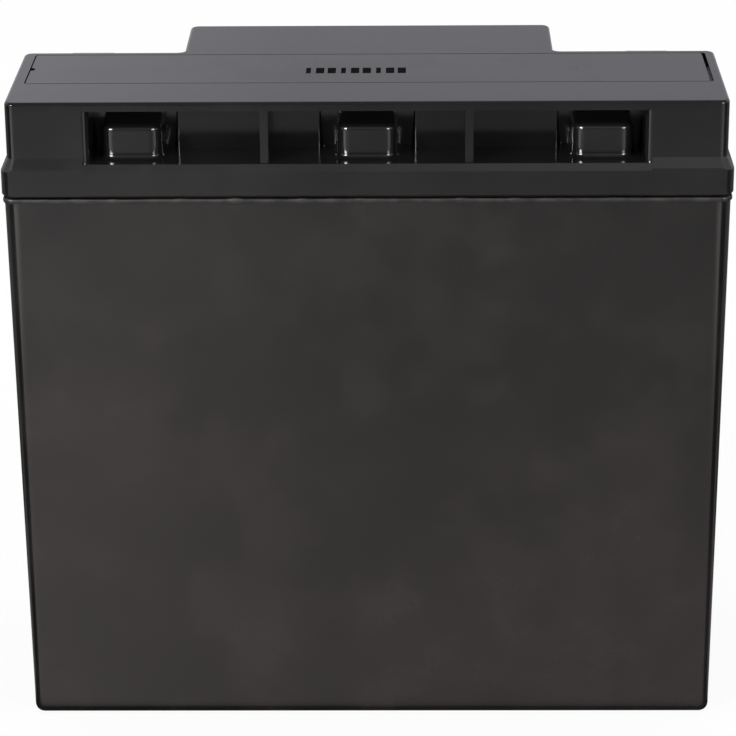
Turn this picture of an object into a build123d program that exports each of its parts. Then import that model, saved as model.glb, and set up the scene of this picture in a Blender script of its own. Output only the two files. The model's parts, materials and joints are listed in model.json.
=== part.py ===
from build123d import *
from math import radians, tan
import os

# Overall size, over the lid's skirt. X is the length, Y the width, and the base is at Z = 0.
overall_length = 181.0
overall_width = 76.8
overall_height = 167.0

# Container. Its heights are given as depths below the top of the lid.
rim_depth = 24.5
mouth_depth = 17.5
rim_inset = 0.45
container_wall = 3.2
container_draft = 0.6
container_corner_radius = 2.5
base_edge_radius = 2.2
rim_edge_radius = 0.6
floor_thickness = 3.0

# Cells
cell_count = 6
end_cell_extra = 0.45
partition_thickness = 1.8
cell_draft = 0.25

# Lid skirt and shoulder, with depths below the top of the lid
skirt_wall = 1.6
skirt_fit_gap = 0.3
seam_gap = 0.2
skirt_lip_height = 0.9
skirt_lip_inset = 0.7
skirt_depth = 17.4
shoulder_depth = 14.3
shoulder_inset_length = 1.6
shoulder_inset_width = 1.2
skirt_corner_radius = 3.0

# Lid top, a full-length slab at the rear and a shorter block in front of it
slab_width = 47.4
block_length = 95.2
top_corner_radius = 2.2
top_edge_radius = 0.8
roof_thickness = 2.25
lid_wall = 2.0
closing_thickness = 3.4
deck_depth = 15.6
groove_gap = 0.25
groove_lip = 1.0

# Rear recess. The pockets behind the outer housings reach further outwards than inwards. The back wall of each
# pocket leans forward, by pocket_lean at its top.
recess_mouth_radius = 1.7
recess_depth = 13.5
pocket_depth = 16.2
centre_pocket_length = 23.2
pocket_outer_reach = 10.2
pocket_inner_reach = 10.6
wall_end_radius = 0.6
pocket_corner_radius = 1.0
pocket_lean = 1.2
rib_shift = 3.9
rib_thickness = 2.0
band_step = 0.2

# Housings over the cell links, inside the rear recess
housing_length = 15.1
housing_height = 8.6
housing_setback = 4.3
housing_corner_radius = 3.2
housing_top_radius = 1.5
housing_foot_radius = 1.1
housing_wall = 1.8

# Vent cover strip and the valve trough under it
strip_end_margin = 3.2
strip_width = 27.1
strip_setback = 17.7
strip_thickness = 2.0
strip_gap = 0.15
strip_end_gap = 0.6
strip_corner_radius = 1.0
strip_edge_chamfer = 0.2
pry_notch_radius = 1.2
trough_end_margin = 3.7
trough_width = 16.0
trough_depth = 9.0
trough_wall = 1.8
trough_corner_radius = 7.8

# Valve chimneys and their rubber caps
chimney_diameter = 7.0
chimney_bore = 3.0
chimney_height = 6.3
cap_diameter = 10.6
cap_fit_gap = 0.1
cap_top = 1.8
cap_skirt = 4.2
cap_edge_radius = 0.6

# Plates. The glass mat between them fills what the plates leave of a cell.
positive_plates_per_cell = 4
positive_thickness = 2.3
negative_thickness = 1.6
stack_clearance = 0.4
mat_side_clearance = 0.9
mat_overhang = 0.5
mat_overhang_top = 2.0
separator_fold_radius = 0.8
lug_width = 9.0
lug_height = 6.0

# Straps and the links over the partitions
strap_depth = 16.5
strap_inset = 5.2
strap_width = 9.0
strap_thickness = 5.0
partition_clearance = 0.55
link_leg = 3.8
link_width = 6.0
link_over_partition = 0.4
link_thickness = 5.5
link_clearance = 0.5
link_top_radius = 1.0

# Terminals and the resin round their posts
post_diameter = 8.0
post_hole_diameter = 8.3
post_boss_diameter = 13.0
post_boss_depth = 5.0
well_ring_diameter = 16.0
well_diameter = 12.5
well_depth = 1.7
well_ring_height = 1.2
flag_width = 14.0
flag_thickness = 3.5
flag_height = 9.8
flag_hole_diameter = 5.5
flag_hole_drop = 4.4
flag_corner_radius = 2.0
foot_depth = 8.0
foot_thickness = 1.5

# Worked out from the sizes above
rear = -overall_width / 2
front = overall_width / 2
rim_height = overall_height - rim_depth
mouth_height = overall_height - mouth_depth
skirt_top = overall_height - skirt_depth
shoulder_top = overall_height - shoulder_depth
deck_height = overall_height - deck_depth
lid_underside = deck_height - closing_thickness
slab_length = overall_length - 2 * shoulder_inset_length
slab_rear = rear + shoulder_inset_width
slab_front = slab_rear + slab_width
block_front = front - shoulder_inset_width
recess_wall = slab_rear + recess_depth
pocket_wall = slab_rear + pocket_depth
housing_face = slab_rear + housing_setback
strip_length = slab_length - 2 * strip_end_margin
strip_centre = slab_rear + strip_setback + strip_width / 2
trough_length = strip_length - 2 * trough_end_margin
recess_roof = overall_height - roof_thickness
rebate_floor = overall_height - strip_thickness
trough_floor = rebate_floor - trough_depth
headspace_top = rebate_floor - trough_wall
rim_length = overall_length - 2 * rim_inset
rim_width = overall_width - 2 * rim_inset
skirt_inner_length = overall_length - 2 * skirt_wall
skirt_inner_width = overall_width - 2 * skirt_wall
skirt_inner_radius = skirt_corner_radius - skirt_wall
lip_bottom = rim_height + seam_gap
lip_top = lip_bottom + skirt_lip_height
cells_half_length = rim_length / 2 - container_wall
cell_pitch = (2 * (cells_half_length - end_cell_extra) + partition_thickness) / cell_count
cell_width = rim_width - 2 * container_wall
cell_narrowing = 2 * (mouth_height - floor_thickness) * tan(radians(cell_draft))
mat_width = cell_width - cell_narrowing - 2 * mat_side_clearance
plate_width = mat_width - 2 * mat_overhang
negative_plates_per_cell = positive_plates_per_cell + 1
positive_stack = positive_plates_per_cell * positive_thickness
negative_stack = negative_plates_per_cell * negative_thickness
stack_length = cell_pitch - partition_thickness - cell_narrowing - 2 * stack_clearance
separator_thickness = (stack_length - positive_stack - negative_stack) / (2 * positive_plates_per_cell)
stack_pitch = positive_thickness + negative_thickness + 2 * separator_thickness
fold_top = floor_thickness + separator_thickness
strap_offset = plate_width / 2 - strap_inset
strap_top = mouth_height - strap_depth
strap_bottom = strap_top - strap_thickness
plate_top = strap_bottom - lug_height
separator_top = plate_top + mat_overhang_top
well_floor = deck_height - well_depth
resin_top = deck_height + well_ring_height


def partition_positions():
    """X of each partition, from the positive end."""
    return [(cell_count / 2 - n) * cell_pitch for n in range(1, cell_count)]


def cell_spans():
    """Centre and length in X of each cell at the mouth, from the positive end."""
    edges = [cells_half_length + partition_thickness / 2, *partition_positions()]
    edges.append(-edges[0])
    spans = []
    for high, low in zip(edges, edges[1:]):
        spans.append(((high + low) / 2, high - low - partition_thickness))
    return spans


def link_side(link):
    """-1 where the link over a partition is at the rear, 1 where it is at the front."""
    return -1 if link % 2 else 1


rear_links = [x for n, x in enumerate(partition_positions(), 1) if link_side(n) < 0]
front_links = [x for n, x in enumerate(partition_positions(), 1) if link_side(n) > 0]
terminal_places = [(cell_spans()[0][0], strap_offset), (cell_spans()[-1][0], strap_offset)]
valve_places = [(centre, strip_centre) for centre, length in cell_spans()]
outer_link = max(rear_links)
recess_length = 2 * (outer_link + pocket_outer_reach)
end_pocket_length = pocket_outer_reach + pocket_inner_reach
pockets = [
    (-recess_length / 2, end_pocket_length),
    (-centre_pocket_length / 2, centre_pocket_length),
    (recess_length / 2 - end_pocket_length, end_pocket_length),
]
rib_spacing = 2 * (cell_pitch - rib_shift)
band_length = recess_length + 2 * recess_mouth_radius
link_span = partition_thickness + 2 * (partition_clearance + link_leg)
link_bottom = mouth_height + link_over_partition
link_top = link_bottom + link_thickness


# Container, one moulding with the partitions
with BuildPart() as container:
    draft_inset = 2 * rim_height * tan(radians(container_draft))
    with BuildSketch():
        RectangleRounded(rim_length - draft_inset, rim_width - draft_inset, container_corner_radius)
    extrude(amount=rim_height, taper=-container_draft)
    fillet(container.faces().sort_by(Axis.Z)[0].edges(), base_edge_radius)
    fillet(container.faces().sort_by(Axis.Z)[-1].edges(), rim_edge_radius)
    # The tongue that stands up inside the lid's skirt
    with BuildSketch(Plane.XY.offset(rim_height)):
        RectangleRounded(
            skirt_inner_length - 2 * skirt_fit_gap,
            skirt_inner_width - 2 * skirt_fit_gap,
            skirt_inner_radius - skirt_fit_gap,
        )
    extrude(amount=mouth_height - rim_height)
    with BuildSketch(Plane((0, 0, mouth_height), x_dir=(1, 0, 0), z_dir=(0, 0, -1))):
        for centre, length in cell_spans():
            with Locations((centre, 0)):
                Rectangle(length, cell_width)
    extrude(amount=mouth_height - floor_thickness, taper=cell_draft, mode=Mode.SUBTRACT)
container.part.label = "container"


# One housing of the rear recess, with its outer face at Y = 0. It stands on Z = 0, on a pad that is sunk
# into the floor and gives its foot a fillet.
with BuildPart() as link_housing:
    housing_depth = pocket_wall - housing_face + housing_corner_radius
    pad_margin = 2 * housing_foot_radius
    with BuildSketch():
        with Locations((0, housing_depth / 2)):
            Rectangle(housing_length + 2 * pad_margin, housing_depth + 2 * pad_margin)
    extrude(amount=-housing_foot_radius)
    with BuildSketch():
        with Locations((0, housing_depth / 2)):
            RectangleRounded(housing_length, housing_depth, housing_corner_radius)
    extrude(amount=housing_height)
    pad_top = link_housing.faces().filter_by(Axis.Z).group_by(Axis.Z)[1].face()
    fillet(pad_top.inner_wires().edges(), housing_foot_radius)
    fillet(link_housing.faces().sort_by(Axis.Z)[-1].edges(), housing_top_radius)


# Lid, one moulding
with BuildPart() as lid:
    # Skirt with its tapered lower lip, then the sloping shoulder
    with BuildSketch(Plane.XY.offset(lip_bottom)):
        RectangleRounded(
            overall_length - 2 * skirt_lip_inset,
            overall_width - 2 * skirt_lip_inset,
            skirt_corner_radius - skirt_lip_inset,
        )
    with BuildSketch(Plane.XY.offset(lip_top)):
        RectangleRounded(overall_length, overall_width, skirt_corner_radius)
    loft()
    with BuildSketch(Plane.XY.offset(lip_top)):
        RectangleRounded(overall_length, overall_width, skirt_corner_radius)
    extrude(amount=skirt_top - lip_top)
    with BuildSketch(Plane.XY.offset(skirt_top)):
        RectangleRounded(overall_length, overall_width, skirt_corner_radius)
    with BuildSketch(Plane.XY.offset(shoulder_top)):
        RectangleRounded(slab_length, block_front - slab_rear, top_corner_radius)
    loft()
    # At the rear the skirt is set back a little on each side of the band under the recess
    with BuildSketch(Plane.XY.offset(lip_bottom)):
        with Locations(*[(side * (overall_length + band_length) / 4, rear) for side in (-1, 1)]):
            Rectangle((overall_length - band_length) / 2, 2 * band_step)
    extrude(amount=shoulder_top - lip_bottom, mode=Mode.SUBTRACT)

    # The slab and the block, level with each other
    with BuildSketch(Plane.XY.offset(skirt_top)) as top_outline:
        with Locations((0, slab_rear + slab_width / 2)):
            Rectangle(slab_length, slab_width)
        with Locations((0, (slab_rear + block_front) / 2)):
            Rectangle(block_length, block_front - slab_rear)
        fillet(top_outline.vertices(), top_corner_radius)
    extrude(amount=overall_height - skirt_top)
    fillet(lid.faces().sort_by(Axis.Z)[-1].edges(), top_edge_radius)

    # The two terminal decks, level with the recess floor
    with BuildSketch(Plane.XY.offset(deck_height)) as decks:
        with Locations((0, (slab_front + front) / 2)):
            Rectangle(overall_length, front - slab_front)
        with Locations((0, (slab_front + front) / 2)):
            Rectangle(block_length, front - slab_front, mode=Mode.SUBTRACT)
    extrude(amount=shoulder_top - deck_height, mode=Mode.SUBTRACT)

    # Rear recess, with pockets behind the link housings and two ribs left standing
    with BuildSketch(Plane.XY.offset(deck_height)) as recess:
        with Locations((0, (rear + recess_wall) / 2)):
            Rectangle(recess_length, recess_wall - rear)
        for start, length in pockets:
            with Locations((start + length / 2, (rear + pocket_wall) / 2)):
                Rectangle(length, pocket_wall - rear)
        fillet(recess.vertices().group_by(Axis.Y)[-2], wall_end_radius)
        fillet(recess.vertices().group_by(Axis.Y)[-1], pocket_corner_radius)
        with Locations((0, (rear + slab_rear + recess_mouth_radius) / 2)):
            Rectangle(band_length, slab_rear + recess_mouth_radius - rear)
        with Locations(*[(side * band_length / 2, slab_rear + recess_mouth_radius) for side in (-1, 1)]):
            Circle(recess_mouth_radius, mode=Mode.SUBTRACT)
        with Locations(*[(side * rib_spacing / 2, slab_rear + recess_depth / 2) for side in (-1, 1)]):
            Rectangle(rib_thickness, recess_depth, mode=Mode.SUBTRACT)
    extrude(amount=recess_roof - deck_height, mode=Mode.SUBTRACT)
    for start, length in pockets:
        with BuildSketch(Plane.YZ.offset(start)):
            with BuildLine():
                Polyline(
                    (pocket_wall, deck_height),
                    (pocket_wall, recess_roof),
                    (pocket_wall - pocket_lean, recess_roof),
                    close=True,
                )
            make_face()
        extrude(amount=length)
    with Locations(*[(x, housing_face, deck_height) for x in rear_links]):
        add(link_housing.part)

    # Rebate for the vent cover strip, then the valve trough
    with BuildSketch(Plane.XY.offset(rebate_floor)):
        with Locations((strip_end_gap / 2, strip_centre)):
            RectangleRounded(
                strip_length + 2 * strip_gap + strip_end_gap,
                strip_width + 2 * strip_gap,
                strip_corner_radius,
            )
    extrude(amount=strip_thickness, mode=Mode.SUBTRACT)
    with BuildSketch(Plane.XY.offset(trough_floor)):
        with Locations((0, strip_centre)):
            RectangleRounded(trough_length, trough_width, trough_corner_radius)
    extrude(amount=rebate_floor - trough_floor, mode=Mode.SUBTRACT)

    # Inside of the skirt, up to the underside of the plate that closes the cells
    with BuildSketch(Plane.XY.offset(lip_bottom)):
        RectangleRounded(skirt_inner_length, skirt_inner_width, skirt_inner_radius)
    extrude(amount=lid_underside - lip_bottom, mode=Mode.SUBTRACT)
    # Groove for the container's tongue and partitions
    with BuildSketch(Plane.XY.offset(lid_underside)):
        RectangleRounded(skirt_inner_length, skirt_inner_width, skirt_inner_radius)
        for centre, length in cell_spans():
            with Locations((centre, 0)):
                Rectangle(length - 2 * groove_gap, cell_width - 2 * groove_gap, mode=Mode.SUBTRACT)
    extrude(amount=mouth_height - lid_underside, mode=Mode.SUBTRACT)

    # Gas space of each cell: narrow where it passes the groove, wider above
    for bottom, top, margin in (
        (lid_underside, deck_height, groove_gap + groove_lip),
        (deck_height, headspace_top, 0),
    ):
        with BuildSketch(Plane.XY.offset(bottom)):
            with Locations((0, (pocket_wall + slab_front) / 2)):
                Rectangle(slab_length - 2 * lid_wall, slab_front - pocket_wall - 2 * lid_wall)
            with Locations((0, (pocket_wall + block_front) / 2)):
                Rectangle(block_length - 2 * lid_wall, block_front - pocket_wall - 2 * lid_wall)
            with Locations((0, strip_centre)):
                Rectangle(trough_length + 2 * trough_wall, trough_width + 2 * trough_wall, mode=Mode.SUBTRACT)
            with Locations(*[(x, 0) for x in partition_positions()]):
                Rectangle(partition_thickness + 2 * margin, overall_width, mode=Mode.SUBTRACT)
        extrude(amount=top - bottom, mode=Mode.SUBTRACT)
        with BuildSketch(Plane.XY.offset(bottom)):
            with Locations((0, strip_centre)):
                Rectangle(trough_length + 2 * trough_wall, trough_width + 2 * trough_wall)
            with Locations(*[(x, 0) for x in partition_positions()]):
                Rectangle(partition_thickness + 2 * margin, overall_width, mode=Mode.SUBTRACT)
        extrude(amount=min(top, trough_floor - trough_wall) - bottom, mode=Mode.SUBTRACT)

    # Room for the links: inside the housings at the rear, and through the block's ribs at the front
    for x in rear_links:
        room_face = housing_face + housing_wall
        room_back = pocket_wall + lid_wall
        with BuildSketch(Plane.XY.offset(lid_underside)):
            with Locations((x, (room_face + room_back) / 2)):
                Rectangle(housing_length - 2 * housing_wall, room_back - room_face)
        extrude(amount=deck_height + housing_height - housing_wall - lid_underside, mode=Mode.SUBTRACT)
    for x in front_links:
        with BuildSketch(Plane.XY.offset(lid_underside)):
            with Locations((x, strap_offset)):
                Rectangle(link_span + 2 * link_clearance, link_width + 2 * link_clearance)
        extrude(amount=link_top + link_clearance - lid_underside, mode=Mode.SUBTRACT)

    # Chimneys that carry the valves
    with BuildSketch(Plane.XY.offset(trough_floor)):
        with Locations(*valve_places):
            Circle(chimney_diameter / 2)
    extrude(amount=chimney_height)
    with BuildSketch(Plane.XY.offset(trough_floor - trough_wall)):
        with Locations(*valve_places):
            Circle(chimney_bore / 2)
    extrude(amount=trough_wall + chimney_height, mode=Mode.SUBTRACT)

    # Terminal posts: a boss under the deck, a ring on it, the resin well and the post's hole
    with BuildSketch(Plane.XY.offset(lid_underside - post_boss_depth)):
        with Locations(*terminal_places):
            Circle(post_boss_diameter / 2)
    extrude(amount=post_boss_depth)
    with BuildSketch(Plane.XY.offset(deck_height)):
        with Locations(*terminal_places):
            Circle(well_ring_diameter / 2)
    extrude(amount=well_ring_height)
    with BuildSketch(Plane.XY.offset(well_floor)):
        with Locations(*terminal_places):
            Circle(well_diameter / 2)
    extrude(amount=deck_height + well_ring_height - well_floor, mode=Mode.SUBTRACT)
    with BuildSketch(Plane.XY.offset(lid_underside - post_boss_depth)):
        with Locations(*terminal_places):
            Circle(post_hole_diameter / 2)
    extrude(amount=well_floor - lid_underside + post_boss_depth, mode=Mode.SUBTRACT)
lid.part.label = "lid"


# Vent cover strip, flush with the top of the lid
with BuildPart() as vent_cover_strip:
    with BuildSketch(Plane.XY.offset(rebate_floor)):
        with Locations((0, strip_centre)):
            RectangleRounded(strip_length, strip_width, strip_corner_radius)
        with Locations((-strip_length / 2, strip_centre)):
            Circle(pry_notch_radius, mode=Mode.SUBTRACT)
    extrude(amount=strip_thickness)
    chamfer(vent_cover_strip.faces().sort_by(Axis.Z)[-1].edges(), strip_edge_chamfer)
vent_cover_strip.part.label = "vent_cover_strip"


def vent_valve(x, y):
    """A rubber cap that sits on a chimney."""
    top = trough_floor + chimney_height + cap_top
    with BuildPart() as valve:
        with BuildSketch(Plane.XY.offset(top - cap_top - cap_skirt)):
            with Locations((x, y)):
                Circle(cap_diameter / 2)
        extrude(amount=cap_top + cap_skirt)
        fillet(valve.faces().sort_by(Axis.Z)[-1].edges(), cap_edge_radius)
        with BuildSketch(Plane.XY.offset(top - cap_top - cap_skirt)):
            with Locations((x, y)):
                Circle(chimney_diameter / 2 + cap_fit_gap)
        extrude(amount=cap_skirt, mode=Mode.SUBTRACT)
    return valve.part


def terminal(x, y):
    """A post that stands on a strap, with an upright flag bored for a bolt."""
    with BuildPart() as post:
        with BuildSketch(Plane.XY.offset(strap_top)):
            with Locations((x, y)):
                Circle(post_diameter / 2)
        extrude(amount=resin_top - strap_top)
        with BuildSketch(Plane.XY.offset(resin_top)):
            with Locations((x, y)):
                Rectangle(flag_width, foot_depth)
        extrude(amount=foot_thickness)
        with BuildSketch(Plane.XZ.offset(foot_depth / 2 - y)) as flag:
            with Locations((x, resin_top + flag_height / 2)):
                Rectangle(flag_width, flag_height)
            fillet(flag.vertices().group_by(Axis.Y)[-1], flag_corner_radius)
            with Locations((x, resin_top + flag_height - flag_hole_drop)):
                Circle(flag_hole_diameter / 2, mode=Mode.SUBTRACT)
        extrude(amount=-flag_thickness)
    return post.part


def terminal_seal(x, y):
    """The resin that fills the well round a post."""
    with BuildPart() as seal:
        with BuildSketch(Plane.XY.offset(well_floor)):
            with Locations((x, y)):
                Circle(well_diameter / 2)
                Circle(post_diameter / 2, mode=Mode.SUBTRACT)
        extrude(amount=resin_top - well_floor)
    return seal.part


def plate_group(centre, strap_length, count, thickness, side, plate_bottom):
    """A cell's plates of one polarity, joined by their lugs to a cast strap on one side."""
    with BuildPart() as group:
        with BuildSketch(Plane.XY.offset(plate_bottom)):
            with Locations((centre, 0)):
                with GridLocations(stack_pitch, 1, count, 1):
                    Rectangle(thickness, plate_width)
        extrude(amount=plate_top - plate_bottom)
        with BuildSketch(Plane.XY.offset(plate_top)):
            with Locations((centre, side * strap_offset)):
                with GridLocations(stack_pitch, 1, count, 1):
                    Rectangle(thickness, lug_width)
        extrude(amount=strap_bottom - plate_top)
        with BuildSketch(Plane.XY.offset(strap_bottom)):
            with Locations((centre, side * strap_offset)):
                Rectangle(strap_length, strap_width)
        extrude(amount=strap_thickness)
    return group.part


def separators(centre):
    """Glass mat folded up round each positive plate of a cell."""
    with BuildPart() as mats:
        with BuildSketch(Plane.XZ.offset(-mat_width / 2)) as folds:
            with Locations((centre, (floor_thickness + separator_top) / 2)):
                with GridLocations(stack_pitch, 1, positive_plates_per_cell, 1):
                    Rectangle(positive_thickness + 2 * separator_thickness, separator_top - floor_thickness)
            fillet(folds.vertices().group_by(Axis.Y)[0], separator_fold_radius)
            with Locations((centre, (fold_top + separator_top) / 2)):
                with GridLocations(stack_pitch, 1, positive_plates_per_cell, 1):
                    Rectangle(positive_thickness, separator_top - fold_top, mode=Mode.SUBTRACT)
        extrude(amount=mat_width)
    return mats.part


def cell_link(x, side):
    """The lead bridge that carries the current over a partition."""
    with BuildPart() as link:
        with BuildSketch(Plane.XY.offset(strap_top)):
            with Locations((x, side * strap_offset)):
                Rectangle(link_span, link_width)
        extrude(amount=link_top - strap_top)
        fillet(link.faces().sort_by(Axis.Z)[-1].edges(), link_top_radius)
        with BuildSketch(Plane.XY.offset(strap_top)):
            with Locations((x, side * strap_offset)):
                Rectangle(partition_thickness + 2 * partition_clearance, link_width)
        extrude(amount=link_bottom - strap_top, mode=Mode.SUBTRACT)
    return link.part


pieces = [container.part, lid.part, vent_cover_strip.part]


def keep(piece, label):
    """Adds a finished piece under its name."""
    piece.label = label
    pieces.append(piece)


for name, (x, y) in zip(("positive", "negative"), terminal_places):
    keep(terminal(x, y), f"terminal_{name}")
    keep(terminal_seal(x, y), f"terminal_seal_{name}")
for n, (x, y) in enumerate(valve_places, 1):
    keep(vent_valve(x, y), f"vent_valve_{n}")
for n, x in enumerate(partition_positions(), 1):
    keep(cell_link(x, link_side(n)), f"cell_link_{n}")
for n, (centre, length) in enumerate(cell_spans(), 1):
    for polarity, count, thickness, side, plate_bottom in (
        ("positive", positive_plates_per_cell, positive_thickness, -link_side(n), fold_top),
        ("negative", negative_plates_per_cell, negative_thickness, link_side(n), floor_thickness),
    ):
        strap_length = length - 2 * partition_clearance
        group = plate_group(centre, strap_length, count, thickness, side, plate_bottom)
        keep(group, f"{polarity}_plates_{n}")
    keep(separators(centre), f"separators_{n}")

os.makedirs("parts", exist_ok=True)
for piece in pieces:
    export_step(piece, f"parts/{piece.label}.step")
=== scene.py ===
import json
import math

import bmesh
import bpy
from mathutils import Matrix, Vector, noise


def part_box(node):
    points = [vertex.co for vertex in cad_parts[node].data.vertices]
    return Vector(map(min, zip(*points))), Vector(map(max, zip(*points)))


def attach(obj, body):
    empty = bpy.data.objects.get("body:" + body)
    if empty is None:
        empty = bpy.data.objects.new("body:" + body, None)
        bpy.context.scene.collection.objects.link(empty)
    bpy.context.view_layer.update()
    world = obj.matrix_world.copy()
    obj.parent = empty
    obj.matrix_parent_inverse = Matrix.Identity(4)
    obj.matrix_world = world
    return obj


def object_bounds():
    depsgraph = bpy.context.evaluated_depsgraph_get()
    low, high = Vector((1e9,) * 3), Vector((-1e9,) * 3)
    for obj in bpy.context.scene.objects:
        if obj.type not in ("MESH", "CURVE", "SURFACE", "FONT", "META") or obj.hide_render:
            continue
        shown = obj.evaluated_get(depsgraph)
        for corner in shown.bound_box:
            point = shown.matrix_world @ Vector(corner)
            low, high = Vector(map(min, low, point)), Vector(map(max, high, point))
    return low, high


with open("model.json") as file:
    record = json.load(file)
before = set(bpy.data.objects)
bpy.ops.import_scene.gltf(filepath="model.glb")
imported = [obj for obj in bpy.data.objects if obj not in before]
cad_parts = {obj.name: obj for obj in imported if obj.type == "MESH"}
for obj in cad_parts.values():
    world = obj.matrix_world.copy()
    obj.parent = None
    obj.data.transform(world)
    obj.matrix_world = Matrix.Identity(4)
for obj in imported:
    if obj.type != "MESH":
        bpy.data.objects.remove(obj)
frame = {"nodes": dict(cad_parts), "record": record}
cad_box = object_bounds()

# Lengths are in metres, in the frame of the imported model. The photographed side faces -Y.
MM = 0.001

# The photograph's camera, from a fit to the object's proportions
CAMERA_PLACE = Vector((0.011571, -0.780089, 0.379439))
CAMERA_PITCH = 0.362664
CAMERA_YAW = 0.015703
CAMERA_ROLL = -0.007999
FOCAL_PIXELS = 3152.61
IMAGE_WIDTH = 736
SENSOR_WIDTH = 36.0

# Plastics
PLASTIC_IOR = 1.46
STRIP_IOR = 1.52

# Studio: the floor, the world and the places that the lamps are turned to
FLOOR_HALF = 3.0
FLOOR_COLOUR = (0.92, 0.92, 0.92, 1)
FLOOR_GLOW = 0.92
WORLD_FILL = 0.75
SPARKLE_AIM = (0, 0, 0.14)
KEY_AIM = (0, 0, 0.12)

# Studio: the cards that only reflections show, with 1 as white
# Painted light on the table card: brighter on the left and at the sides, dimmer further out
TABLE_LEFT = 1.22
TABLE_RIGHT = 0.72
TABLE_MIDDLE = 0.9
TABLE_FAR = 0.5
TABLE_SIDE_LEFT = 2.4
TABLE_SIDE_RIGHT = 2.7
DARK_SLOPE = 0.93
FRONT_LOW = 0.2
# A painted reflection for the lid's shoulder, darker on the left than on the right
FRONT_BAND_LEFT = 0.42
FRONT_BAND_RIGHT = 0.92
FRONT_HIGH = 0.3
# A painted contact shadow on the table card, this dark where it touches the object and fading out over this
# reach
CONTACT_SHADOW_LEVEL = 0.05
CONTACT_SHADOW_REACH = 5 * MM
# The level of the dark cards beside the front, which paint dark reflections in the side edges
DARK_LEVEL = 0.02
SIDE_LEVEL = 0.4
CEILING_LEVEL = 0.3
FLAG_LEVEL = 0.35
CARD_REACH = 2.4
CARD_LIFT = 0.1 * MM
CARD_GAP = 0.5 * MM
SIDE_STRIP = 30 * MM
REAR_CARD_Y = 1.6
FRONT_CARD_Y = -1.9
FRONT_CARD_HALF = 0.95
BAND_LOW = 0.9
BAND_HIGH = 1.3
FRONT_CARD_TOP = 2.25
CEILING_Z = 2.26
CEILING_HALF = 1.9
CEILING_BACK = 1.2
BACK_CARD_Y = 1.5
BACK_CARD_HALF = 1.6
BACK_CARD_LOW = 0.02
BACK_CARD_HIGH = 1.4
FLAG_HALF = 0.16
FLAG_HEIGHT = 60 * MM
FLAG_GAP = 0.5 * MM
FLAG_AHEAD = 2 * MM
TABLE_WARM = (1.0, 0.91, 0.89, 1)
TABLE_NEUTRAL = (0.985, 0.97, 0.965, 1)
BACK_TINT = (0.60, 0.59, 0.64, 1)

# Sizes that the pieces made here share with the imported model
SEAM_GAP = 0.2 * MM
RIM_INSET = 0.45 * MM
RIM_CORNER = 2.5 * MM


def set_range(node, low, high, to_low, to_high):
    """Sets the range that a Map Range node reads, and the range that it gives."""
    names = ("From Min", "From Max", "To Min", "To Max")
    for name, number in zip(names, (low, high, to_low, to_high)):
        node.inputs[name].default_value = number


class Recipe:
    """A node material, built up one node at a time in object coordinates."""

    def __init__(self, name):
        self.material = bpy.data.materials.new(name)
        self.material.use_nodes = True
        self.tree = self.material.node_tree
        self.tree.nodes.clear()
        self.shader = self.add("ShaderNodeBsdfPrincipled")
        output = self.add("ShaderNodeOutputMaterial")
        self.join(self.shader.outputs["BSDF"], output.inputs["Surface"])
        self.place = self.add("ShaderNodeTexCoord").outputs["Object"]

    def add(self, kind, **settings):
        node = self.tree.nodes.new(kind)
        for key, value in settings.items():
            setattr(node, key, value)
        return node

    def join(self, source, target):
        self.tree.links.new(source, target)

    def noise(self, scale, detail=3.0, roughness=0.5, stretch=None):
        """A noise of that many features per metre, finer across an axis with a larger stretch."""
        node = self.add("ShaderNodeTexNoise")
        node.inputs["Scale"].default_value = scale
        node.inputs["Detail"].default_value = detail
        node.inputs["Roughness"].default_value = roughness
        place = self.place
        if stretch:
            mapping = self.add("ShaderNodeMapping")
            mapping.inputs["Scale"].default_value = stretch
            self.join(place, mapping.inputs["Vector"])
            place = mapping.outputs["Vector"]
        self.join(place, node.inputs["Vector"])
        return node.outputs["Fac"]

    def remap(self, value, low, high, to_low, to_high, smooth=True):
        node = self.add("ShaderNodeMapRange")
        if smooth:
            node.interpolation_type = "SMOOTHSTEP"
        set_range(node, low, high, to_low, to_high)
        self.join(value, node.inputs["Value"])
        return node.outputs["Result"]

    def calculate(self, operation, first, second):
        node = self.add("ShaderNodeMath", operation=operation)
        for socket, value in zip(node.inputs, (first, second)):
            if isinstance(value, (int, float)):
                socket.default_value = value
            else:
                self.join(value, socket)
        return node.outputs["Value"]

    def blend(self, share, first, second):
        """A colour between two, each a tuple or another node's colour."""
        node = self.add("ShaderNodeMix", data_type="RGBA")
        self.join(share, node.inputs["Factor"])
        sockets = [s for s in node.inputs if s.type == "RGBA"]
        for socket, value in zip(sockets, (first, second)):
            if isinstance(value, tuple):
                socket.default_value = (*value, 1)
            else:
                self.join(value, socket)
        return [s for s in node.outputs if s.type == "RGBA"][0]

    def bump(self, height, distance, below=None):
        node = self.add("ShaderNodeBump")
        node.inputs["Distance"].default_value = distance
        self.join(height, node.inputs["Height"])
        if below:
            self.join(below, node.inputs["Normal"])
        return node.outputs["Normal"]

    def fixed(self, **values):
        """Sets the shader's own sockets to constants."""
        for key, value in values.items():
            self.shader.inputs[key.replace("_", " ")].default_value = value

    def drive(self, socket, source):
        self.join(source, self.shader.inputs[socket])


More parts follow.
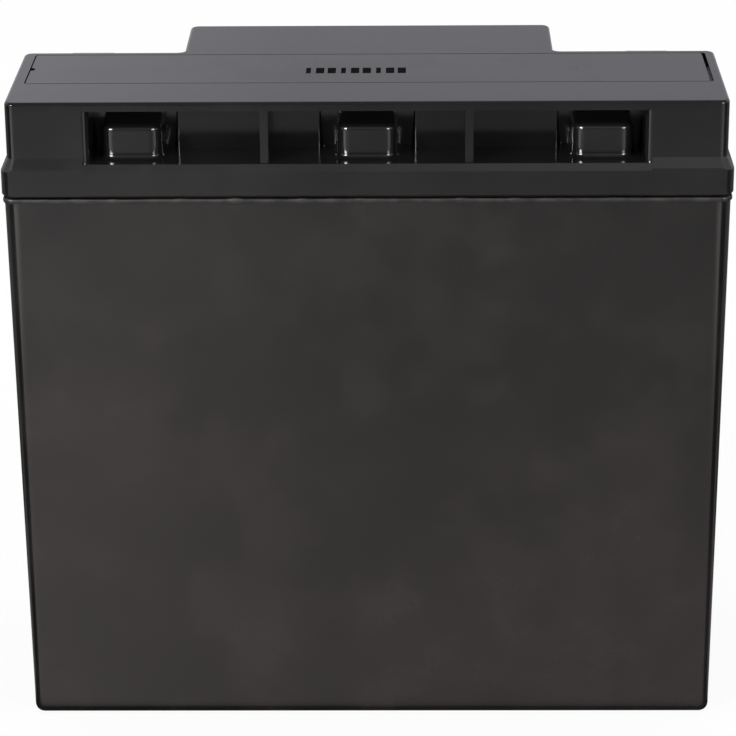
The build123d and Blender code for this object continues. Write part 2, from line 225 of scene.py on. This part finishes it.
def moulded_plastic(name, base, haze, smooth_end, rough_end, index=PLASTIC_IOR):
    """Black moulded plastic: hazy patches, faint scuffs, a fine grain and a slightly uneven face."""
    recipe = Recipe(name)
    broad = recipe.remap(recipe.noise(14, 3, 0.55), 0.38, 0.66, 0, 1)
    patches = recipe.remap(recipe.noise(48, 4, 0.6), 0.42, 0.66, 0, 1)
    scuffs = recipe.remap(recipe.noise(30, 5, 0.65, (9, 1, 0.5)), 0.58, 0.74, 0, 1)
    cloud = recipe.calculate("MULTIPLY", recipe.calculate("ADD", broad, patches), 0.5)
    recipe.drive("Base Color", recipe.blend(cloud, base, haze))
    dull = recipe.calculate("ADD", cloud, recipe.calculate("MULTIPLY", scuffs, 0.35))
    recipe.drive("Roughness", recipe.remap(dull, 0, 1.2, smooth_end, rough_end, smooth=False))
    wave = recipe.bump(recipe.noise(45, 1, 0.4), 0.03 * MM)
    grain = recipe.bump(recipe.noise(2600, 2, 0.5), 0.004 * MM, wave)
    recipe.drive("Normal", grain)
    recipe.fixed(IOR=index)
    return recipe.material


def rubber():
    recipe = Recipe("valve_rubber")
    dust = recipe.remap(recipe.noise(500, 3), 0.45, 0.7, 0, 1)
    recipe.drive("Base Color", recipe.blend(dust, (0.018, 0.018, 0.018), (0.05, 0.05, 0.048)))
    recipe.drive("Roughness", recipe.remap(dust, 0, 1, 0.55, 0.75))
    recipe.drive("Normal", recipe.bump(recipe.noise(3000, 2), 0.01 * MM))
    return recipe.material


def resin(name, colour, deep):
    """Poured epoxy, glossy with a few clouded spots."""
    recipe = Recipe(name)
    cloud = recipe.remap(recipe.noise(260, 3), 0.4, 0.65, 0, 1)
    recipe.drive("Base Color", recipe.blend(cloud, colour, deep))
    recipe.drive("Roughness", recipe.remap(cloud, 0, 1, 0.12, 0.3))
    recipe.drive("Normal", recipe.bump(recipe.noise(350, 2), 0.06 * MM))
    return recipe.material


def tinned_metal():
    """Tin plating over a cast terminal: satin, with drawn lines and dull patches."""
    recipe = Recipe("terminal_metal")
    lines = recipe.noise(90, 4, 0.7, (1, 1, 16))
    tarnish = recipe.remap(recipe.noise(220, 4, 0.6), 0.45, 0.7, 0, 1)
    recipe.drive("Base Color", recipe.blend(tarnish, (0.74, 0.73, 0.70), (0.52, 0.51, 0.48)))
    recipe.drive("Roughness", recipe.remap(tarnish, 0, 1, 0.26, 0.45))
    recipe.drive("Normal", recipe.bump(lines, 0.02 * MM))
    recipe.fixed(Metallic=1.0)
    return recipe.material


def dull_metal(name, colour, oxide, roughness):
    """Cast lead or pasted lead: granular, with oxide blotches."""
    recipe = Recipe(name)
    blotch = recipe.remap(recipe.noise(140, 4, 0.6), 0.4, 0.65, 0, 1)
    recipe.drive("Base Color", recipe.blend(blotch, colour, oxide))
    recipe.drive("Roughness", recipe.remap(blotch, 0, 1, roughness, min(1, roughness + 0.2)))
    recipe.drive("Normal", recipe.bump(recipe.noise(1500, 3), 0.05 * MM))
    recipe.fixed(Metallic=0.35)
    return recipe.material


def glass_mat():
    """Absorbent glass mat: a felt of fine white fibres."""
    recipe = Recipe("glass_mat")
    fibres = recipe.noise(700, 5, 0.7, (1, 6, 1))
    recipe.drive("Base Color", recipe.blend(fibres, (0.70, 0.70, 0.68), (0.86, 0.86, 0.84)))
    recipe.drive("Roughness", recipe.remap(fibres, 0.3, 0.7, 0.8, 1.0))
    recipe.drive("Normal", recipe.bump(fibres, 0.15 * MM))
    return recipe.material


def print_ink():
    recipe = Recipe("print_ink")
    worn = recipe.remap(recipe.noise(900, 3), 0.4, 0.7, 0, 1)
    recipe.drive("Base Color", recipe.blend(worn, (0.008, 0.008, 0.008), (0.014, 0.014, 0.014)))
    recipe.drive("Roughness", recipe.remap(worn, 0, 1, 0.6, 0.8))
    recipe.fixed(Specular_IOR_Level=0.0)
    return recipe.material


def weld_flash():
    """The plastic that was melted and squeezed out where the lid was welded on: paler and rougher."""
    recipe = Recipe("weld_flash")
    lumps = recipe.remap(recipe.noise(260, 4, 0.6), 0.35, 0.65, 0, 1)
    recipe.drive("Base Color", recipe.blend(lumps, (0.013, 0.012, 0.012), (0.024, 0.022, 0.021)))
    recipe.drive("Roughness", recipe.remap(lumps, 0, 1, 0.36, 0.50))
    recipe.drive("Normal", recipe.bump(recipe.noise(420, 3), 0.05 * MM))
    recipe.fixed(IOR=PLASTIC_IOR, Specular_IOR_Level=0.32)
    return recipe.material


def dress_nodes():
    """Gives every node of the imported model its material."""
    finishes = {
        "container": moulded_plastic(
            "container", (0.0064, 0.0060, 0.0058), (0.0152, 0.0130, 0.0120), 0.18, 0.32
        ),
        "lid": moulded_plastic("lid", (0.0074, 0.0072, 0.0073), (0.0115, 0.0110, 0.0110), 0.11, 0.20),
        "vent_cover": moulded_plastic(
            "vent_cover", (0.0082, 0.0080, 0.0082), (0.013, 0.0125, 0.0125), 0.18, 0.30, STRIP_IOR
        ),
        "valve_rubber": rubber(),
        "red_resin": resin("red_resin", (0.42, 0.018, 0.012), (0.30, 0.012, 0.010)),
        "black_resin": resin("black_resin", (0.012, 0.012, 0.013), (0.02, 0.02, 0.02)),
        "terminal_metal": tinned_metal(),
        "glass_mat": glass_mat(),
        "positive_paste": dull_metal("positive_paste", (0.16, 0.065, 0.035), (0.09, 0.04, 0.025), 0.7),
        "negative_paste": dull_metal("negative_paste", (0.30, 0.31, 0.32), (0.22, 0.23, 0.24), 0.6),
        "lead": dull_metal("lead", (0.36, 0.37, 0.39), (0.24, 0.25, 0.27), 0.45),
    }
    for row in frame["record"]["subparts"]:
        piece = frame["nodes"][row["node"]]
        piece.data.materials.clear()
        piece.data.materials.append(finishes[row["material_slot"]])
    return finishes


def add_piece(name, mesh, material, smooth=True):
    """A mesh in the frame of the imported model, which rides with it."""
    if smooth:
        mesh.shade_smooth()
    else:
        mesh.shade_flat()
    piece = bpy.data.objects.new(name, mesh)
    bpy.context.scene.collection.objects.link(piece)
    piece.data.materials.append(material)
    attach(piece, "root")
    return piece


def rounded_outline(half_length, half_width, radius, step):
    """Points and outward directions round a rectangle with rounded corners, evenly spaced."""
    corners = ((1, -1, -90), (1, 1, 0), (-1, 1, 90), (-1, -1, 180))
    points = []
    for (sx, sy, start), (nx, ny, after) in zip(corners, corners[1:] + corners[:1]):
        centre = Vector((sx * (half_length - radius), sy * (half_width - radius), 0))
        turns = max(2, round(math.pi / 2 * radius / step))
        for n in range(turns):
            angle = math.radians(start + 90 * n / turns)
            outward = Vector((math.cos(angle), math.sin(angle), 0))
            points.append((centre + outward * radius, outward))
        outward = Vector((math.cos(math.radians(after)), math.sin(math.radians(after)), 0))
        begin = centre + outward * radius
        end = Vector((nx * (half_length - radius), ny * (half_width - radius), 0)) + outward * radius
        runs = max(1, round((end - begin).length / step))
        for n in range(runs):
            points.append((begin.lerp(end, n / runs), outward))
    return points


def add_seam_bead(material):
    """The uneven bead round the container's rim, just under the lid."""
    rim_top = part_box("lid")[0].z - SEAM_GAP
    half_length = cad_box[1][0] - RIM_INSET
    half_width = cad_box[1][1] - RIM_INSET
    half_height = 0.60 * MM
    bulge = 0.26 * MM
    widest = RIM_INSET - 0.05 * MM
    drop = 0.53 * MM
    sag = 0.06 * MM
    step = 0.5 * MM
    sides = 12
    # Ripples per metre, and the part of the bead's size that a lump adds
    swell, lumps, ripple = 70, 230, 110
    lump_floor = 0.18
    lump_share = 0.9
    mesh = bpy.data.meshes.new("seam_bead")
    shape = bmesh.new()
    rings = []
    for point, outward in rounded_outline(half_length, half_width, RIM_CORNER, step):
        waver = noise.noise(point * swell)
        lump = max(0.0, noise.noise(point * lumps + Vector((3, 1, 7))) - lump_floor)
        tall = half_height * (1 + 0.18 * waver + lump_share * lump)
        wide = min(bulge * (1 + 0.25 * waver + lump_share * lump), widest)
        centre = point + Vector((0, 0, rim_top - drop + sag * noise.noise(point * ripple)))
        ring = []
        for n in range(sides):
            angle = math.tau * n / sides
            rise = Vector((0, 0, math.sin(angle) * tall))
            ring.append(shape.verts.new(centre + outward * math.cos(angle) * wide + rise))
        rings.append(ring)
    for first, second in zip(rings, rings[1:] + rings[:1]):
        for n in range(sides):
            m = (n + 1) % sides
            shape.faces.new((first[n], second[n], second[m], first[m]))
    shape.normal_update()
    shape.to_mesh(mesh)
    shape.free()
    add_piece("seam_bead", mesh, material)


def add_bar(shape, centre, size, turn=0.0):
    """A bar with chamfered top edges in a bmesh: its centre is on the surface that it stands on."""
    made = bmesh.ops.create_cube(shape, size=1)["verts"]
    spin = Matrix.Rotation(turn, 3, "Z")
    for vert in made:
        taper = 0.86 if vert.co.z > 0 else 1.0
        local = Vector((vert.co.x * size.x * taper, vert.co.y * size.y * taper, (vert.co.z + 0.5) * size.z))
        vert.co = centre + spin @ local


def add_polarity_marks(material):
    """A plain raised plus and minus on the terminal decks, beside the posts."""
    length, width, height = 5.0 * MM, 1.2 * MM, 0.35 * MM
    ring_height = 1.2 * MM
    aside = 15.5 * MM
    for name, turns in (("positive", (0.0, math.pi / 2)), ("negative", (0.0,))):
        ring_low, ring_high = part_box(f"terminal_seal_{name}")
        deck = ring_high.z - ring_height
        middle = (ring_low + ring_high) / 2
        side = 1 if middle.x < 0 else -1
        centre = Vector((middle.x + side * aside, middle.y, deck))
        shape = bmesh.new()
        for turn in turns:
            add_bar(shape, centre, Vector((length, width, height)), turn)
        mesh = bpy.data.meshes.new(f"{name}_mark")
        shape.to_mesh(mesh)
        shape.free()
        add_piece(f"{name}_mark", mesh, material, smooth=False)


def add_lot_marks(material):
    """A short row of plain printed bars on the vent cover strip, alternately wide and narrow."""
    strip_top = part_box("vent_cover_strip")[1].z
    first = Vector((-15.0 * MM, -8.2 * MM, strip_top))
    mark_count = 9
    mark_pitch = 2.95 * MM
    wide, narrow = 2.1 * MM, 1.2 * MM
    length = 5.2 * MM
    thickness = 0.02 * MM
    shape = bmesh.new()
    for n in range(mark_count):
        width = wide if n % 3 else narrow
        centre = first + Vector((n * mark_pitch, 0, 0))
        add_bar(shape, centre, Vector((width, length, thickness)))
    mesh = bpy.data.meshes.new("lot_marks")
    shape.to_mesh(mesh)
    shape.free()
    add_piece("lot_marks", mesh, material, smooth=False)


def add_plane(name, corners, material):
    mesh = bpy.data.meshes.new(name)
    mesh.from_pydata([Vector(c) for c in corners], [], [tuple(range(len(corners)))])
    plane = bpy.data.objects.new(name, mesh)
    bpy.context.scene.collection.objects.link(plane)
    plane.data.materials.append(material)
    return plane


def seen_directly(tree):
    """1 for rays from the camera, or from a mirror or glass, and 0 for diffuse ones."""
    path = tree.nodes.new("ShaderNodeLightPath")
    total = path.outputs["Is Camera Ray"]
    for name in ("Is Glossy Ray", "Is Transmission Ray"):
        add = tree.nodes.new("ShaderNodeMath")
        add.operation = "MAXIMUM"
        tree.links.new(total, add.inputs[0])
        tree.links.new(path.outputs[name], add.inputs[1])
        total = add.outputs[0]
    return total


def floor_material():
    """A white table: partly lit by the lamps, so that it keeps the shadow, and partly a flat white."""
    material = bpy.data.materials.new("studio_floor")
    material.use_nodes = True
    tree = material.node_tree
    tree.nodes.clear()
    output = tree.nodes.new("ShaderNodeOutputMaterial")
    lit = tree.nodes.new("ShaderNodeBsdfDiffuse")
    lit.inputs["Color"].default_value = FLOOR_COLOUR
    glow = tree.nodes.new("ShaderNodeEmission")
    glow.inputs["Strength"].default_value = 1.0
    mix = tree.nodes.new("ShaderNodeMixShader")
    share = tree.nodes.new("ShaderNodeMath")
    share.operation = "MULTIPLY"
    share.inputs[1].default_value = FLOOR_GLOW
    tree.links.new(seen_directly(tree), share.inputs[0])
    tree.links.new(share.outputs[0], mix.inputs["Fac"])
    tree.links.new(lit.outputs[0], mix.inputs[1])
    tree.links.new(glow.outputs[0], mix.inputs[2])
    tree.links.new(mix.outputs[0], output.inputs["Surface"])
    return material


def flat_material(name, level):
    material = bpy.data.materials.new(name)
    material.use_nodes = True
    tree = material.node_tree
    tree.nodes.clear()
    output = tree.nodes.new("ShaderNodeOutputMaterial")
    glow = tree.nodes.new("ShaderNodeEmission")
    glow.inputs["Color"].default_value = (level, level, level, 1)
    tree.links.new(glow.outputs[0], output.inputs["Surface"])
    return material


def set_world():
    world = bpy.data.worlds.new("studio")
    bpy.context.scene.world = world
    world.use_nodes = True
    tree = world.node_tree
    tree.nodes.clear()
    output = tree.nodes.new("ShaderNodeOutputWorld")
    background = tree.nodes.new("ShaderNodeBackground")
    background.inputs["Color"].default_value = (1, 1, 1, 1)
    level = tree.nodes.new("ShaderNodeMapRange")
    level.inputs["To Min"].default_value = WORLD_FILL
    level.inputs["To Max"].default_value = 1.0
    tree.links.new(seen_directly(tree), level.inputs["Value"])
    tree.links.new(level.outputs[0], background.inputs["Strength"])
    tree.links.new(background.outputs[0], output.inputs["Surface"])


def add_softbox(name, place, aim, width, height, radiance):
    """An area lamp of that radiance, turned towards the aim."""
    data = bpy.data.lights.new(name, "AREA")
    data.shape = "RECTANGLE"
    data.size = width
    data.size_y = height
    data.energy = radiance * math.pi * width * height
    lamp = bpy.data.objects.new(name, data)
    lamp.location = place
    lamp.rotation_euler = (Vector(aim) - Vector(place)).to_track_quat("-Z", "Y").to_euler()
    bpy.context.scene.collection.objects.link(lamp)
    return lamp


def add_card(name, corners, material):
    """A card of the studio that only reflections show."""
    card = add_plane(name, corners, material)
    card.visible_camera = False
    card.visible_diffuse = False
    card.visible_shadow = False
    card.visible_transmission = False
    return card


def table_card_material():
    """The table as the plastic reflects it, a product of ramps along X and Y.

    It carries a painted contact shadow where it touches the object, and painted light that is brightest on
    the left and at the sides and dimmer further out, with a warm tint painted near the object.
    """
    material = flat_material("table_card", 1.0)
    tree = material.node_tree
    glow = [n for n in tree.nodes if n.type == "EMISSION"][0]
    place = tree.nodes.new("ShaderNodeTexCoord")
    split = tree.nodes.new("ShaderNodeSeparateXYZ")
    tree.links.new(place.outputs["Object"], split.inputs[0])
    levels = []
    touch = -cad_box[1][1]
    for axis, near, far, to_near, to_far in (
        ("X", -0.14, 0.04, TABLE_LEFT, TABLE_RIGHT),
        # a painted contact shadow next to the object
        ("Y", touch, touch - CONTACT_SHADOW_REACH, CONTACT_SHADOW_LEVEL, 1.0),
        ("Y", -0.20, -0.28, 1.0, TABLE_MIDDLE),
        ("Y", -0.36, -0.60, 1.0, TABLE_FAR),
        ("X", -0.22, -0.32, 1.0, TABLE_SIDE_LEFT),
        ("X", 0.20, 0.29, 1.0, TABLE_SIDE_RIGHT),
    ):
        fall = tree.nodes.new("ShaderNodeMapRange")
        fall.interpolation_type = "SMOOTHSTEP"
        if near < far:
            set_range(fall, near, far, to_near, to_far)
        else:
            set_range(fall, far, near, to_far, to_near)
        tree.links.new(split.outputs[axis], fall.inputs["Value"])
        levels.append(fall.outputs["Result"])
    product = levels[0]
    for level in levels[1:]:
        both = tree.nodes.new("ShaderNodeMath")
        both.operation = "MULTIPLY"
        tree.links.new(product, both.inputs[0])
        tree.links.new(level, both.inputs[1])
        product = both.outputs[0]
    tree.links.new(product, glow.inputs["Strength"])
    # A warm tint painted on the table card near the object
    warmth = tree.nodes.new("ShaderNodeMapRange")
    set_range(warmth, -0.42, -0.30, 0, 1)
    tint = tree.nodes.new("ShaderNodeMix")
    tint.data_type = "RGBA"
    ends = [s for s in tint.inputs if s.type == "RGBA"]
    ends[0].default_value = TABLE_NEUTRAL
    ends[1].default_value = TABLE_WARM
    tree.links.new(split.outputs["Y"], warmth.inputs["Value"])
    tree.links.new(warmth.outputs["Result"], tint.inputs["Factor"])
    tree.links.new([s for s in tint.outputs if s.type == "RGBA"][0], glow.inputs["Color"])
    return material


def ramp_card(name, axis, low, high, low_level, high_level, tint=(1, 1, 1, 1)):
    """A card whose level runs from one value to another along X or Y."""
    material = flat_material(name, 1.0)
    tree = material.node_tree
    glow = [n for n in tree.nodes if n.type == "EMISSION"][0]
    glow.inputs["Color"].default_value = tint
    place = tree.nodes.new("ShaderNodeTexCoord")
    split = tree.nodes.new("ShaderNodeSeparateXYZ")
    ramp = tree.nodes.new("ShaderNodeMapRange")
    set_range(ramp, low, high, low_level, high_level)
    tree.links.new(place.outputs["Object"], split.inputs[0])
    tree.links.new(split.outputs[axis], ramp.inputs["Value"])
    tree.links.new(ramp.outputs["Result"], glow.inputs["Strength"])
    return material


def lying(left, right, front, back, height):
    """The corners of a level card."""
    return [(left, front, height), (right, front, height), (right, back, height), (left, back, height)]


def standing(half, y, low, high):
    """The corners of an upright card across the Y axis."""
    return [(-half, y, low), (half, y, low), (half, y, high), (-half, y, high)]


def add_side_cards(side, name, dark):
    """Painted reflections of the table beside the object: black next to the front, grey at the side and dark
    grey behind.
    """
    depth = cad_box[1][1]
    near = cad_box[1][0] + CARD_GAP
    far = CARD_REACH
    wedge = -depth - DARK_SLOPE * (far - near)
    rear = ramp_card(f"rear_card_{name}", "X", side * 0.18, side * 0.34, 0.05, 0.25)
    for part, corners, material in (
        ("front", ((near, -SIDE_STRIP), (far, -SIDE_STRIP), (far, wedge), (near, -depth)), dark),
        (
            "side",
            ((near, -SIDE_STRIP), (far, -SIDE_STRIP), (far, SIDE_STRIP), (near, SIDE_STRIP)),
            flat_material("side_card", SIDE_LEVEL),
        ),
        ("rear", ((near, SIDE_STRIP), (far, SIDE_STRIP), (far, REAR_CARD_Y), (near, REAR_CARD_Y)), rear),
    ):
        add_card(f"card_{part}_{name}", [(side * x, y, 2 * CARD_LIFT) for x, y in corners], material)


def add_front_cards():
    """Three cards behind the camera, one over the other. The middle one is what the lid's shoulder shows."""
    # The middle card paints the shoulder's reflection, darker on the left and brighter on the right
    band = ramp_card("front_band", "X", -0.2, 0.18, FRONT_BAND_LEFT, FRONT_BAND_RIGHT)
    for name, low, high, material in (
        ("front_low", 0.0, BAND_LOW, flat_material("front_low", FRONT_LOW)),
        ("front_band", BAND_LOW, BAND_HIGH, band),
        ("front_high", BAND_HIGH, FRONT_CARD_TOP, flat_material("front_high", FRONT_HIGH)),
    ):
        add_card(f"{name}_card", standing(FRONT_CARD_HALF, FRONT_CARD_Y, low, high), material)


def add_flag():
    """A grey flag just in front of the top, which keeps the low lamps from glaring in that flat face."""
    top = cad_box[1][2]
    ahead = -cad_box[1][1] - FLAG_AHEAD
    flag = add_card(
        "top_flag",
        standing(FLAG_HALF, ahead, top + FLAG_GAP, top + FLAG_HEIGHT),
        flat_material("top_flag", FLAG_LEVEL),
    )
    flag.visible_shadow = True


def add_cards():
    """The cards round the object: the table, darker ones beside it, in front and above, and one behind."""
    add_card(
        "table_card",
        lying(-CARD_REACH, CARD_REACH, -CARD_REACH, 0, CARD_LIFT),
        table_card_material(),
    )
    dark = flat_material("dark_card", DARK_LEVEL)
    for side, name in ((-1, "left"), (1, "right")):
        add_side_cards(side, name, dark)
    add_front_cards()
    add_card(
        "ceiling_card",
        lying(-CEILING_HALF, CEILING_HALF, -CEILING_HALF, CEILING_BACK, CEILING_Z),
        flat_material("ceiling_card", CEILING_LEVEL),
    )
    # The back card is painted brighter on the left than on the right, a painted light gradient in the top's
    # reflection
    add_card(
        "back_card",
        standing(BACK_CARD_HALF, BACK_CARD_Y, BACK_CARD_LOW, BACK_CARD_HIGH),
        ramp_card("back_card", "X", -0.30, -0.08, 1.2, 0.94, BACK_TINT),
    )
    add_flag()


def add_studio():
    """The floor, the world, the cards, two lamps that only gloss shows, and three that only light."""
    add_plane("floor", lying(-FLOOR_HALF, FLOOR_HALF, -FLOOR_HALF, FLOOR_HALF, 0), floor_material())
    set_world()
    add_cards()
    for name, place, size, radiance in (
        ("sparkle_left", (-0.845, -1.30, 0.61), (0.52, 0.22), 140),
        ("sparkle_right", (0.845, -1.30, 0.53), (0.52, 0.22), 48),
    ):
        lamp = add_softbox(name, place, SPARKLE_AIM, *size, radiance)
        lamp.visible_diffuse = False
    for name, place, size, radiance in (
        ("key_left", (-0.95, -0.95, 0.95), (0.36, 0.36), 22),
        ("key_right", (0.95, -0.95, 0.95), (0.36, 0.36), 8),
        ("top", (0.0, 0.2, 1.7), (0.9, 0.9), 1.5),
    ):
        lamp = add_softbox(name, place, KEY_AIM, *size, radiance)
        lamp.visible_glossy = False


def camera_axes():
    """The camera's right, up and forward directions."""
    right = Vector((math.cos(CAMERA_YAW), math.sin(CAMERA_YAW), 0))
    ahead = Vector((-math.sin(CAMERA_YAW), math.cos(CAMERA_YAW), 0))
    upright = Vector((0, 0, 1))
    forward = ahead * math.cos(CAMERA_PITCH) - upright * math.sin(CAMERA_PITCH)
    up = ahead * math.sin(CAMERA_PITCH) + upright * math.cos(CAMERA_PITCH)
    rolled_right = right * math.cos(CAMERA_ROLL) + up * math.sin(CAMERA_ROLL)
    rolled_up = up * math.cos(CAMERA_ROLL) - right * math.sin(CAMERA_ROLL)
    return rolled_right, rolled_up, forward


def add_camera():
    right, up, forward = camera_axes()
    data = bpy.data.cameras.new("photo_camera")
    data.sensor_width = SENSOR_WIDTH
    data.lens = FOCAL_PIXELS / IMAGE_WIDTH * SENSOR_WIDTH
    data.clip_start = 0.01
    data.clip_end = 20
    camera = bpy.data.objects.new("photo_camera", data)
    turn = Matrix((right, up, -forward)).transposed().to_4x4()
    camera.matrix_world = Matrix.Translation(CAMERA_PLACE) @ turn
    bpy.context.scene.collection.objects.link(camera)
    bpy.context.scene.camera = camera


bpy.context.scene.view_settings.view_transform = "Standard"
add_camera()
finishes = dress_nodes()
add_seam_bead(weld_flash())
add_polarity_marks(finishes["lid"])
add_lot_marks(print_ink())
add_studio()
